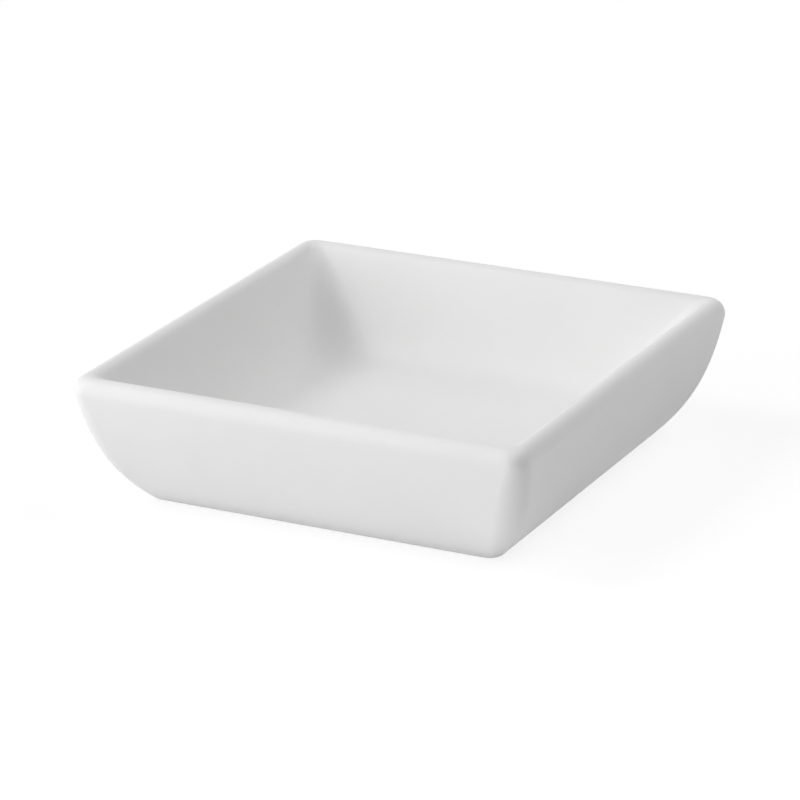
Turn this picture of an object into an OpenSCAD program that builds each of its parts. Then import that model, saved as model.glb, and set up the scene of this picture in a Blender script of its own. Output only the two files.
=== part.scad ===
// Square soy sauce dish in white porcelain, a clay body under two coats of glaze.
// The origin is the centre of the foot on the table, +Z is up and the sides lie along X and Y.
// Lengths are in millimetres and are those of the finished dish, glaze included.

/* [Rim] */
// Side of the square rim over its outermost edge
rim_side = 90; // [76:0.5:120]
// Height of the rim's crown above the table
dish_h = 25; // [19:0.1:36]
// Radius of the lip's round inner side, half the rim's thickness
lip_r = 2.2; // [1.5:0.1:3]
// Height of the lip's oval outer side below the crown
lip_drop = 2.7; // [1.8:0.1:4]
// Corner radius of the rim's outer edge, seen from above
rim_corner_r = 3.5; // [2.5:0.1:9]
// Corner radius of the crown of the lip, seen from above
crown_corner_r = 2.3; // [1:0.1:6]

/* [Outer wall] */
// Slope of the outer wall where it leaves the heel, in degrees
wall_foot_slope = 42.3; // [28:0.1:52]
// Slope of the outer wall just below the lip, in degrees
wall_rim_slope = 82.8; // [76:0.1:89]
// Corner radius of the outer wall at half its height, seen from above
belly_corner_r = 4.6; // [3:0.1:9]

/* [Well] */
// Thickness of the floor, with the glaze above and below it
floor_t = 4.6; // [3:0.1:6]
// Side of the flat part of the floor
floor_side = 52.8; // [42:0.4:62]
// Corner radius of the flat part of the floor
floor_corner_r = 8; // [4:0.5:12]
// Corner radius of the well just below the lip
well_corner_r = 2.3; // [1.5:0.1:6]
// Slope of the inner wall just below the lip, in degrees
well_rim_slope = 57; // [50:0.5:85]

/* [Foot] */
// Side of the square face that the dish stands on
foot_side = 67.4; // [60:0.2:73]
// Corner radius of the standing face, seen from above
foot_corner_r = 2.3; // [1.5:0.1:6]
// Radius of the round heel between the standing face and the outer wall
heel_r = 2; // [1:0.1:3]
// Width of the foot ring
foot_ring_w = 4.5; // [3:0.1:7]
// Radius of the foot ring's inner edge
ring_edge_r = 0.5; // [0.3:0.05:0.7]
// Height of the recess inside the foot ring
recess_h = 1.2; // [0.8:0.1:1.8]
// Corner radius of the recess
recess_corner_r = 3; // [2:0.1:6]

/* [Glaze] */
// Thickness of the glaze
glaze_t = 0.3; // [0.2:0.05:0.35]

/* [Hidden] */

// Lengths of the handles of the two wall curves as shares of their rise, lower end first
wall_handle_shares = [0.37, 0.45];
well_handle_shares = [0.48, 0.43];
// Share of the heel that stays bare below the glaze
bare_heel_share = 0.35;

// Steps along the curves
wall_steps = 14;
lip_steps = 6;
well_steps = 16;
edge_steps = 3;
corner_steps = 6;
ring_points = 4 * (corner_steps + 1);

biscuit = [0.90, 0.88, 0.84];
glaze_white = [0.95, 0.95, 0.94];

rim_half = rim_side / 2;
foot_half = foot_side / 2;
recess_half = foot_half - foot_ring_w;
recess_top = recess_h + glaze_t;
lip_centre = [rim_half - lip_r, dish_h - lip_r];
// Directions in which the lip faces where it meets the outer wall and where it meets the well
lip_outer_dir = wall_rim_slope - 90;
lip_inner_dir = well_rim_slope + 90;
// Directions in which the heel faces where the glaze ends and where it meets the outer wall
heel_end_dir = 270 + wall_foot_slope;
glaze_end_dir = blend(270, heel_end_dir, bare_heel_share);

// The outer wall's curve, from the heel up to the lip
heel_centre = [foot_half, heel_r];
wall_low = heel_centre + heel_r * heading(heel_end_dir);
wall_high = lip_outer_point(lip_outer_dir);
wall_rise = wall_high.y - wall_low.y;
wall_curve = [
    wall_low,
    wall_low + wall_handle_shares[0] * wall_rise * heading(wall_foot_slope),
    wall_high - wall_handle_shares[1] * wall_rise * heading(wall_rim_slope),
    wall_high
];

// The well's curve, from the edge of the flat floor up to the lip
well_low = [floor_side / 2, recess_h + floor_t];
well_high = lip_centre + lip_r * heading(lip_inner_dir);
well_rise = well_high.y - well_low.y;
well_curve = [
    well_low,
    well_low + well_handle_shares[0] * well_rise * heading(0),
    well_high - well_handle_shares[1] * well_rise * heading(well_rim_slope),
    well_high
];

function heading(angle) = [cos(angle), sin(angle)];
function blend(low, high, share) = low + (high - low) * share;

// Point of the lip's oval outer side that faces in a direction
function lip_outer_point(angle) =
    let (reach = [lip_r * cos(angle), lip_drop * sin(angle)])
    [rim_half - lip_r, dish_h - lip_drop] + [lip_r * reach.x, lip_drop * reach.y] / norm(reach);

// Point of a cubic curve, and the direction in which the curve runs there
function cubic(c, t) =
    pow(1 - t, 3) * c[0] + 3 * pow(1 - t, 2) * t * c[1] + 3 * (1 - t) * pow(t, 2) * c[2] + pow(t, 3) * c[3];
function cubic_run(c, t) =
    pow(1 - t, 2) * (c[1] - c[0]) + 2 * (1 - t) * t * (c[2] - c[1]) + pow(t, 2) * (c[3] - c[2]);
function unit(v) = v / norm(v);

// Corner radius of the outer side at a height, with a smooth change from the foot by the belly to the rim
function outer_corner_r(h) =
    let (share = h / wall_high.y, pull = 2 * belly_corner_r - (foot_corner_r + rim_corner_r) / 2)
    blend(blend(foot_corner_r, pull, share), blend(pull, rim_corner_r, share), share);

// A station is a level of the dish: half side, height, corner radius and the direction it faces
function station(p, corner_r, facing) = [p.x, p.y, corner_r, facing];
function recess_edge_station(angle) =
    let (p = [recess_half + ring_edge_r, ring_edge_r] + ring_edge_r * heading(angle))
    station(p, recess_corner_r + p.x - recess_half, heading(angle));
function heel_station(angle) =
    let (p = heel_centre + heel_r * heading(angle))
    station(p, outer_corner_r(p.y), heading(angle));
function wall_station(t) =
    let (p = cubic(wall_curve, t), run = unit(cubic_run(wall_curve, t)))
    station(p, outer_corner_r(p.y), [run.y, -run.x]);
function lip_station(angle) =
    let (
        p = angle < 90 ? lip_outer_point(angle) : lip_centre + lip_r * heading(angle),
        outward = (p.x - lip_centre.x) / lip_r,
        inward = (lip_centre.x - p.x) / (lip_centre.x - well_high.x),
        corner_r = outward > 0 ? blend(crown_corner_r, rim_corner_r, outward)
            : blend(crown_corner_r, well_corner_r, inward)
    )
    station(p, corner_r, heading(angle));
function well_station(t) =
    let (p = cubic(well_curve, t), run = unit(cubic_run(well_curve, t)), rise_share = (p.y - well_low.y) / well_rise)
    station(p, blend(floor_corner_r, well_corner_r, pow(rise_share, 2)), [-run.y, run.x]);

// The glazed skin from the heel over the lip down to the floor, and the body's skin under it
glazed_skin = [
    for (i = [0 : edge_steps - 1]) heel_station(blend(glaze_end_dir, heel_end_dir, i / edge_steps)),
    for (i = [0 : wall_steps]) wall_station(i / wall_steps),
    for (i = [0 : lip_steps]) lip_station(90 * i / lip_steps),
    for (i = [1 : lip_steps]) lip_station(blend(90, lip_inner_dir, i / lip_steps)),
    for (i = [1 : well_steps]) well_station(1 - i / well_steps)
];
body_skin = [
    for (s = glazed_skin)
        station([s[0], s[1]] - glaze_t * s[3], s[2] - glaze_t * s[3].x, s[3])
];
body_skin_inward = [for (i = [1 : len(body_skin)]) body_skin[len(body_skin) - i]];

// The bare skin of the foot ring from the top of the recess, under the standing face, out to the glaze
foot_skin = [
    station([recess_half, recess_top], recess_corner_r, heading(180)),
    for (i = [0 : edge_steps]) recess_edge_station(blend(180, 270, i / edge_steps)),
    for (i = [0 : edge_steps]) heel_station(blend(270, glaze_end_dir, i / edge_steps))
];

// Outline of a station seen from above, a square with round corners
function ring(s) = [
    for (k = [0 : 3], i = [0 : corner_steps])
        let (angle = 90 * (k + i / corner_steps), corner = sqrt(2) * heading(90 * k + 45))
        [(s[0] - s[2]) * corner.x + s[2] * cos(angle), (s[0] - s[2]) * corner.y + s[2] * sin(angle), s[1]]
];

// Solid through a row of stations, closed by a flat face at the first and at the last
module loft(stations) {
    last = ring_points * (len(stations) - 1);
    sides = [
        for (i = [0 : len(stations) - 2], j = [0 : ring_points - 1])
            let (a = i * ring_points + j, b = i * ring_points + (j + 1) % ring_points)
            each [[a, a + ring_points, b + ring_points], [a, b + ring_points, b]]
    ];
    first_face = [for (j = [0 : ring_points - 1]) j];
    last_face = [for (j = [1 : ring_points]) last + ring_points - j];
    polyhedron(points = [for (s = stations) each ring(s)], faces = concat([first_face], sides, [last_face]));
}

// Fired clay body with floor, walls, lip and foot ring
module dish_body() {
    color(biscuit)
        loft(concat(foot_skin, body_skin));
}

// Glaze over the well, the lip, the outer walls and the heel
module main_glaze() {
    color(glaze_white)
        loft(concat(body_skin_inward, glazed_skin));
}

// Glaze over the recess inside the foot ring
module base_glaze() {
    color(glaze_white)
        translate([0, 0, recess_h])
            linear_extrude(height = glaze_t)
                polygon([for (p = ring(foot_skin[0])) [p.x, p.y]]);
}

dish_body();
main_glaze();
base_glaze();
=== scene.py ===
import math

import bmesh
import bpy
from mathutils import Matrix, Vector


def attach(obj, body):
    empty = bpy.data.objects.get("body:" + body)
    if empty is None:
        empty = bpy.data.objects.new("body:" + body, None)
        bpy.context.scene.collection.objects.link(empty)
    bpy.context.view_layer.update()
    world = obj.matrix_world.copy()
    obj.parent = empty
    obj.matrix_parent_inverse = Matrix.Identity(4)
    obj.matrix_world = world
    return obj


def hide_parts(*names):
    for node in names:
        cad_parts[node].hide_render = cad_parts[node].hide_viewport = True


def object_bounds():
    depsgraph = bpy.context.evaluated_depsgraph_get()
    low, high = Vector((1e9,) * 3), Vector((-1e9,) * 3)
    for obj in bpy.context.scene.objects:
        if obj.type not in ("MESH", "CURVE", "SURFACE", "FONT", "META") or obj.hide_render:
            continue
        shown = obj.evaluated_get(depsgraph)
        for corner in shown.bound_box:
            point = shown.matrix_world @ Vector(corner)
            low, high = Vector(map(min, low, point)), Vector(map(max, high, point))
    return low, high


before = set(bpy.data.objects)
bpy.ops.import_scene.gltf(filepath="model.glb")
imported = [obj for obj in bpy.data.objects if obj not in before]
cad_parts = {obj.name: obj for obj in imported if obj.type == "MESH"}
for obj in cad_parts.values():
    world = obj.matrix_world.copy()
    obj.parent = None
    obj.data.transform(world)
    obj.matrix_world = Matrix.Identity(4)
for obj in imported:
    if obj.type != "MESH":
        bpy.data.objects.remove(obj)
solid_low, solid_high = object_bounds()
MM = 0.001

# Sizes of the finished dish, in metres, the same as those of the solids
RIM_HALF = solid_high.x
DISH_H = solid_high.z
LIP_R = 2.2 * MM
LIP_DROP = 2.7 * MM
RIM_CORNER_R = 3.5 * MM
CROWN_CORNER_R = 2.3 * MM
BELLY_CORNER_R = 4.6 * MM
FOOT_HALF = 33.7 * MM
FOOT_CORNER_R = 2.3 * MM
HEEL_R = 2.0 * MM
FOOT_RING_W = 4.5 * MM
RING_EDGE_R = 0.5 * MM
RECESS_H = 1.2 * MM
RECESS_CORNER_R = 3.0 * MM
FLOOR_HALF = 26.4 * MM
FLOOR_H = 5.8 * MM
FLOOR_CORNER_R = 8.0 * MM
WELL_CORNER_R = 2.3 * MM
GLAZE_T = 0.3 * MM

# Slopes in degrees at the low and the high end of each wall, and its curve's handles as shares of its rise
WALL_SLOPES = (42.3, 82.8)
WALL_HANDLES = (0.37, 0.45)
WELL_SLOPES = (0.0, 57.0)
WELL_HANDLES = (0.48, 0.43)

# Share of the heel's turn that the glaze leaves bare
BARE_HEEL_SHARE = 0.35

# Directions on the profile, in degrees
OUTWARD = 0
UPWARD = 90
INWARD = 180
DOWNWARD = 270

# Steps along the curves
WALL_STEPS = 26
LIP_STEPS = 11
WELL_STEPS = 30
EDGE_STEPS = 5
CORNER_STEPS = 14

# How the meshes are closed and shaded
MERGE_DIST = 1e-7
CAP_INSET = 1.5 * MM
CREASE_ANGLE = math.radians(40)


def mix(low, high, share):
    return low + (high - low) * share


def heading(degrees):
    angle = math.radians(degrees)
    return Vector((math.cos(angle), math.sin(angle)))


class Level:
    """One height of the dish: half side, height, corner radius and the way the skin faces there."""

    def __init__(self, point, corner_r, facing):
        self.half, self.height = point
        self.corner_r = corner_r
        self.facing = facing

    def sunk(self, depth):
        """The same level on a skin that lies deeper."""
        point = Vector((self.half, self.height)) - depth * self.facing
        return Level(point, self.corner_r - depth * self.facing.x, self.facing)


def wall_curve(low, high, slopes, handles):
    """A wall from its low end to the lip: a function of the share of the way, for point and direction."""
    rise = high.y - low.y
    low_handle = low + handles[0] * rise * heading(slopes[0])
    high_handle = high - handles[1] * rise * heading(slopes[1])

    def at(share):
        rest = 1 - share
        point = rest ** 3 * low + share ** 3 * high
        point += 3 * rest * share * (rest * low_handle + share * high_handle)
        run = rest ** 2 * (low_handle - low) + share ** 2 * (high - high_handle)
        run += 2 * rest * share * (high_handle - low_handle)
        return point, run.normalized()

    return at


def lip_outer_point(degrees):
    """Point of the lip's oval outer side that faces in a direction."""
    facing = heading(degrees)
    reach = Vector((LIP_R * facing.x, LIP_DROP * facing.y))
    oval = Vector((LIP_R * reach.x, LIP_DROP * reach.y)) / reach.length
    return Vector((RIM_HALF - LIP_R, DISH_H - LIP_DROP)) + oval


LIP_CENTRE = Vector((RIM_HALF - LIP_R, DISH_H - LIP_R))
HEEL_CENTRE = Vector((FOOT_HALF, HEEL_R))
HEEL_END_TURN = DOWNWARD + WALL_SLOPES[0]
GLAZE_END_TURN = mix(DOWNWARD, HEEL_END_TURN, BARE_HEEL_SHARE)
LIP_END_TURN = UPWARD + WELL_SLOPES[1]
WALL_LOW = HEEL_CENTRE + HEEL_R * heading(HEEL_END_TURN)
WALL_HIGH = lip_outer_point(WALL_SLOPES[1] - UPWARD)
WELL_LOW = Vector((FLOOR_HALF, FLOOR_H))
WELL_HIGH = LIP_CENTRE + LIP_R * heading(LIP_END_TURN)


def outer_corner_r(height):
    """Corner radius of the heel and the outer wall, smooth from the foot over the belly to the rim."""
    share = height / WALL_HIGH.y
    pull = 2 * BELLY_CORNER_R - (FOOT_CORNER_R + RIM_CORNER_R) / 2
    return mix(mix(FOOT_CORNER_R, pull, share), mix(pull, RIM_CORNER_R, share), share)


def recess_edge_levels(half):
    """Levels round the foot ring's inner edge, from its upright side to the standing face."""
    levels = []
    for i in range(EDGE_STEPS + 1):
        turn = mix(INWARD, DOWNWARD, i / EDGE_STEPS)
        point = Vector((half + RING_EDGE_R, RING_EDGE_R)) + RING_EDGE_R * heading(turn)
        levels.append(Level(point, RECESS_CORNER_R + point.x - half, heading(turn)))
    return levels


def heel_levels(first, last):
    """Levels round the heel from one direction to another."""
    levels = []
    for i in range(EDGE_STEPS + 1):
        turn = mix(first, last, i / EDGE_STEPS)
        point = HEEL_CENTRE + HEEL_R * heading(turn)
        levels.append(Level(point, outer_corner_r(point.y), heading(turn)))
    return levels


def outer_wall_levels():
    """Levels up the outer wall, after the heel's last one."""
    wall = wall_curve(WALL_LOW, WALL_HIGH, WALL_SLOPES, WALL_HANDLES)
    levels = []
    for i in range(1, WALL_STEPS + 1):
        point, run = wall(i / WALL_STEPS)
        levels.append(Level(point, outer_corner_r(point.y), Vector((run.y, -run.x))))
    return levels


def lip_levels():
    """Levels up the lip's oval outer side to its crown, and round its inner side to the well."""
    levels = []
    for i in range(LIP_STEPS):
        turn = mix(OUTWARD, UPWARD, i / LIP_STEPS)
        point = lip_outer_point(turn)
        way_out = (point.x - LIP_CENTRE.x) / LIP_R
        levels.append(Level(point, mix(CROWN_CORNER_R, RIM_CORNER_R, way_out), heading(turn)))
    for i in range(LIP_STEPS + 1):
        turn = mix(UPWARD, LIP_END_TURN, i / LIP_STEPS)
        point = LIP_CENTRE + LIP_R * heading(turn)
        way_in = (LIP_CENTRE.x - point.x) / (LIP_CENTRE.x - WELL_HIGH.x)
        levels.append(Level(point, mix(CROWN_CORNER_R, WELL_CORNER_R, way_in), heading(turn)))
    return levels


def well_levels():
    """Levels down the well to its floor, after the lip's last one, rounder in the corners as they go."""
    well = wall_curve(WELL_LOW, WELL_HIGH, WELL_SLOPES, WELL_HANDLES)
    levels = []
    for i in range(1, WELL_STEPS + 1):
        point, run = well(1 - i / WELL_STEPS)
        rise_share = (point.y - WELL_LOW.y) / (WELL_HIGH.y - WELL_LOW.y)
        corner_r = mix(FLOOR_CORNER_R, WELL_CORNER_R, rise_share ** 2)
        levels.append(Level(point, corner_r, Vector((-run.y, run.x))))
    return levels


def quarter_ring(bm, level):
    """One corner of the first level: an arc with a straight run to each mirror plane."""
    start = bmesh.ops.create_vert(bm, co=(level.corner_r, 0, level.height))["vert"][0]
    quarter_turn = math.radians(90)
    bmesh.ops.spin(
        bm, geom=[start], cent=(0, 0, 0), axis=(0, 0, 1), angle=quarter_turn, steps=CORNER_STEPS
    )
    bm.verts.ensure_lookup_table()
    centre = level.half - level.corner_r
    bmesh.ops.translate(bm, vec=(centre, centre, 0), verts=bm.verts[:])
    for end, run in ((bm.verts[0], (0, -centre, 0)), (bm.verts[-1], (-centre, 0, 0))):
        grown = bmesh.ops.extrude_vert_indiv(bm, verts=[end])["verts"]
        bmesh.ops.translate(bm, vec=run, verts=grown)
    return bm.edges[:]


def raise_ring(bm, edges, old, new):
    """Extrudes a quarter ring to the next level, its arc scaled about its own centre."""
    made = bmesh.ops.extrude_edge_only(bm, edges=edges)["geom"]
    verts = [g for g in made if isinstance(g, bmesh.types.BMVert)]
    on_x = [v for v in verts if v.co.y < MERGE_DIST]
    on_y = [v for v in verts if v.co.x < MERGE_DIST]
    arc = [v for v in verts if v.co.x >= MERGE_DIST and v.co.y >= MERGE_DIST]
    rise = new.height - old.height
    widening = new.half - old.half
    centre = old.half - old.corner_r
    grow = new.corner_r / old.corner_r
    about_centre = Matrix.Translation((-centre, -centre, 0))
    bmesh.ops.scale(bm, vec=(grow, grow, 1), space=about_centre, verts=arc)
    shift = new.half - new.corner_r - centre
    bmesh.ops.translate(bm, vec=(shift, shift, rise), verts=arc)
    bmesh.ops.translate(bm, vec=(widening, 0, rise), verts=on_x)
    bmesh.ops.translate(bm, vec=(0, widening, rise), verts=on_y)
    fresh = set(verts)
    return [g for g in made if isinstance(g, bmesh.types.BMEdge) and set(g.verts) <= fresh]


def moulded_piece(name, levels):
    """A closed piece through a row of levels, mirrored from one corner to all four."""
    bm = bmesh.new()
    edges = quarter_ring(bm, levels[0])
    for old, new in zip(levels, levels[1:]):
        edges = raise_ring(bm, edges, old, new)
    for axis in ("X", "Y"):
        made_so_far = bm.verts[:] + bm.edges[:] + bm.faces[:]
        bmesh.ops.mirror(bm, geom=made_so_far, merge_dist=MERGE_DIST, axis=axis)
    bmesh.ops.remove_doubles(bm, verts=bm.verts[:], dist=MERGE_DIST)
    open_edges = [e for e in bm.edges if e.is_boundary]
    caps = bmesh.ops.holes_fill(bm, edges=open_edges, sides=0)["faces"]
    bmesh.ops.recalc_face_normals(bm, faces=bm.faces[:])
    bmesh.ops.inset_region(bm, faces=caps, thickness=CAP_INSET, use_even_offset=True)
    for edge in bm.edges:
        edge.smooth = edge.calc_face_angle() < CREASE_ANGLE
    for face in bm.faces:
        face.smooth = True
    return linked_object(name, bm)


def linked_object(name, bm):
    """Turns a finished bmesh into an object of the scene."""
    mesh = bpy.data.meshes.new(name)
    bm.to_mesh(mesh)
    bm.free()
    made = bpy.data.objects.new(name, mesh)
    bpy.context.scene.collection.objects.link(made)
    return made


def set_inputs(node, **values):
    """Sets a node's inputs by name, with an underscore for each space."""
    for key, value in values.items():
        node.inputs[key.replace("_", " ")].default_value = value


def noise_on_piece(tree, scale, detail):
    """A noise pattern that stays fixed to the piece."""
    place = tree.nodes.new("ShaderNodeTexCoord")
    noise = tree.nodes.new("ShaderNodeTexNoise")
    set_inputs(noise, Scale=scale, Detail=detail)
    tree.links.new(place.outputs["Object"], noise.inputs["Vector"])
    return noise.outputs["Fac"]


def tones(tree, pattern, dark_at, dark, light_at, light):
    """Colours a pattern, all dark below one of its values and all light above another."""
    ramp = tree.nodes.new("ShaderNodeValToRGB")
    dark_end, light_end = ramp.color_ramp.elements
    dark_end.position = dark_at
    dark_end.color = (*dark, 1)
    light_end.position = light_at
    light_end.color = (*light, 1)
    tree.links.new(pattern, ramp.inputs["Fac"])
    return ramp.outputs["Color"]


def relief(tree, pattern, strength, depth):
    """Bump from a pattern, for unevenness too small to change a size."""
    bump = tree.nodes.new("ShaderNodeBump")
    set_inputs(bump, Strength=strength, Distance=depth)
    tree.links.new(pattern, bump.inputs["Height"])
    return bump.outputs["Normal"]


def white_glaze():
    """Satin white glaze: faint clouds of tone, slightly uneven gloss and a soft ripple."""
    mat = bpy.data.materials.new("satin_white_glaze")
    mat.use_nodes = True
    tree = mat.node_tree
    shader = tree.nodes["Principled BSDF"]
    set_inputs(shader, Specular_IOR_Level=0.3)

    clouds = noise_on_piece(tree, scale=38, detail=3)
    colour = tones(
        tree, clouds, dark_at=0.3, dark=(0.835, 0.835, 0.833), light_at=0.7, light=(0.855, 0.855, 0.854)
    )
    tree.links.new(colour, shader.inputs["Base Color"])

    gloss = noise_on_piece(tree, scale=120, detail=4)
    satin = tree.nodes.new("ShaderNodeMapRange")
    set_inputs(satin, From_Min=0.3, From_Max=0.7, To_Min=0.45, To_Max=0.52)
    tree.links.new(gloss, satin.inputs["Value"])
    tree.links.new(satin.outputs["Result"], shader.inputs["Roughness"])

    ripple = noise_on_piece(tree, scale=260, detail=2)
    uneven = relief(tree, ripple, strength=0.05, depth=0.1 * MM)
    tree.links.new(uneven, shader.inputs["Normal"])
    return mat


def bare_biscuit():
    """Unglazed fired clay: warm white, matt, with a fine grain."""
    mat = bpy.data.materials.new("bare_biscuit")
    mat.use_nodes = True
    tree = mat.node_tree
    shader = tree.nodes["Principled BSDF"]
    set_inputs(shader, Roughness=0.85)

    grain = noise_on_piece(tree, scale=1500, detail=5)
    colour = tones(
        tree, grain, dark_at=0.35, dark=(0.80, 0.79, 0.77), light_at=0.65, light=(0.86, 0.85, 0.83)
    )
    tree.links.new(colour, shader.inputs["Base Color"])
    uneven = relief(tree, grain, strength=0.15, depth=0.05 * MM)
    tree.links.new(uneven, shader.inputs["Normal"])
    return mat


# The three pieces
glazed = heel_levels(GLAZE_END_TURN, HEEL_END_TURN) + outer_wall_levels() + lip_levels() + well_levels()
under_glaze = [level.sunk(GLAZE_T) for level in glazed]
main_glaze = moulded_piece("main_glaze_coat", under_glaze[::-1] + glazed)

recess_half = FOOT_HALF - FOOT_RING_W
recess_ceiling = Level(Vector((recess_half, RECESS_H + GLAZE_T)), RECESS_CORNER_R, heading(INWARD))
bare_foot = [recess_ceiling] + recess_edge_levels(recess_half) + heel_levels(DOWNWARD, GLAZE_END_TURN)
dish_body = moulded_piece("porcelain_body", bare_foot + under_glaze)

base_low = Level(Vector((recess_half, RECESS_H)), RECESS_CORNER_R, heading(DOWNWARD))
base_glaze = moulded_piece("base_glaze_coat", [base_low, recess_ceiling])

glaze_finish = white_glaze()
biscuit_finish = bare_biscuit()
for piece, node, slot, finish in (
    (dish_body, "dish_body", "porcelain_body", biscuit_finish),
    (main_glaze, "main_glaze", "white_glaze", glaze_finish),
    (base_glaze, "base_glaze", "white_glaze", glaze_finish),
):
    piece.data.materials.append(finish)
    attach(piece, "root")
    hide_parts(node)


def seen_directly(tree):
    """1 on rays that show the backdrop itself, also by way of gloss, and 0 on rays that light things."""
    path = tree.nodes.new("ShaderNodeLightPath")
    seen = path.outputs["Is Camera Ray"]
    for ray in ("Is Glossy Ray", "Is Transmission Ray"):
        either = tree.nodes.new("ShaderNodeMath")
        either.operation = "MAXIMUM"
        tree.links.new(seen, either.inputs[0])
        tree.links.new(path.outputs[ray], either.inputs[1])
        seen = either.outputs[0]
    return seen


def blend_shaders(tree, share, lighting, shown, output):
    """Mixes the shader that lights the dish with the one that is shown, by a share of the latter."""
    blend = tree.nodes.new("ShaderNodeMixShader")
    tree.links.new(share, blend.inputs["Fac"])
    tree.links.new(lighting.outputs[0], blend.inputs[1])
    tree.links.new(shown.outputs[0], blend.inputs[2])
    tree.links.new(blend.outputs[0], tree.nodes[output].inputs["Surface"])


# White floor that keeps a faint shadow
WHITE = (1, 1, 1, 1)
FLOOR_PAINT = (0.93, 0.93, 0.93, 1)
FLOOR_SPREAD = 4.0
FLOOR_GLOW = 1.1
FLOOR_GLOW_SHARE = 0.75

bm = bmesh.new()
bmesh.ops.create_grid(bm, x_segments=1, y_segments=1, size=FLOOR_SPREAD)
studio_floor = linked_object("studio_floor", bm)

floor_mat = bpy.data.materials.new("white_floor")
floor_mat.use_nodes = True
tree = floor_mat.node_tree
tree.nodes.remove(tree.nodes["Principled BSDF"])
paint = tree.nodes.new("ShaderNodeBsdfDiffuse")
set_inputs(paint, Color=FLOOR_PAINT)
glow = tree.nodes.new("ShaderNodeEmission")
set_inputs(glow, Color=WHITE, Strength=FLOOR_GLOW)
glow_share = tree.nodes.new("ShaderNodeMath")
glow_share.operation = "MULTIPLY"
tree.links.new(seen_directly(tree), glow_share.inputs[0])
glow_share.inputs[1].default_value = FLOOR_GLOW_SHARE
blend_shaders(tree, glow_share.outputs[0], paint, glow, "Material Output")
studio_floor.data.materials.append(floor_mat)

# White world that gives the dish only a little light
ROOM_LIGHT = 0.045

world = bpy.data.worlds.new("white_studio")
bpy.context.scene.world = world
world.use_nodes = True
tree = world.node_tree
room = tree.nodes["Background"]
set_inputs(room, Color=WHITE, Strength=ROOM_LIGHT)
backdrop = tree.nodes.new("ShaderNodeBackground")
set_inputs(backdrop, Color=WHITE, Strength=1.0)
blend_shaders(tree, seen_directly(tree), room, backdrop, "World Output")

# Soft boxes, with sizes and distance in metres and power in watts
LAMP_DISTANCE = 1.2
WIDE_BOX = 0.9
SMALL_BOX = 0.5


def way_to(azimuth, elevation):
    """Unit vector from the dish to a lamp or the camera; azimuth 0 is in front, 90 on the right."""
    turn = math.radians(azimuth)
    lift = math.radians(elevation)
    return Vector((math.sin(turn) * math.cos(lift), -math.cos(turn) * math.cos(lift), math.sin(lift)))


def soft_box(name, azimuth, elevation, size, power):
    """A square soft lamp that faces the middle of the dish."""
    light = bpy.data.lights.new(name, "AREA")
    light.shape = "SQUARE"
    light.size = size
    light.energy = power
    lamp = bpy.data.objects.new(name, light)
    back = way_to(azimuth, elevation)
    lamp.location = back * LAMP_DISTANCE + Vector((0, 0, DISH_H / 2))
    lamp.rotation_mode = "QUATERNION"
    lamp.rotation_quaternion = back.to_track_quat("Z", "Y")
    bpy.context.scene.collection.objects.link(lamp)


soft_box("front_soft_box", azimuth=-15, elevation=15, size=WIDE_BOX, power=4.4)
soft_box("front_left_soft_box", azimuth=-45, elevation=20, size=WIDE_BOX, power=4.8)
soft_box("left_key_soft_box", azimuth=-65, elevation=50, size=SMALL_BOX, power=5.5)
soft_box("overhead_soft_box", azimuth=0, elevation=88, size=WIDE_BOX, power=0.7)
soft_box("back_right_soft_box", azimuth=135, elevation=45, size=WIDE_BOX, power=6.8)

# Camera at the photograph's angle, with angles in degrees and the lens and sensor in millimetres
VIEW_AZIMUTH = 27.4913
VIEW_ELEVATION = 20.4573
VIEW_ROLL = -1.0464
VIEW_DISTANCE = 759.392 * MM
VIEW_SIDE = -1.6076 * MM
VIEW_UP = 11.8905 * MM
VIEW_LENS = 185.5141
VIEW_SENSOR_W = 36.0
VIEW_NEAR = 0.05
VIEW_FAR = 20.0

back = way_to(VIEW_AZIMUTH, VIEW_ELEVATION)
level_right = way_to(VIEW_AZIMUTH + 90, 0)
level_up = back.cross(level_right)
roll = math.radians(VIEW_ROLL)
right = level_right * math.cos(roll) + level_up * math.sin(roll)
up = level_up * math.cos(roll) - level_right * math.sin(roll)
lens = bpy.data.cameras.new("camera")
lens.sensor_width = VIEW_SENSOR_W
lens.lens = VIEW_LENS
lens.clip_start = VIEW_NEAR
lens.clip_end = VIEW_FAR
camera = bpy.data.objects.new("camera", lens)
facing = Matrix((right, up, back)).transposed().to_4x4()
place = back * VIEW_DISTANCE + right * VIEW_SIDE + up * VIEW_UP
camera.matrix_world = Matrix.Translation(place) @ facing
bpy.context.scene.collection.objects.link(camera)
bpy.context.scene.camera = camera

bpy.context.scene.view_settings.view_transform = "Standard"
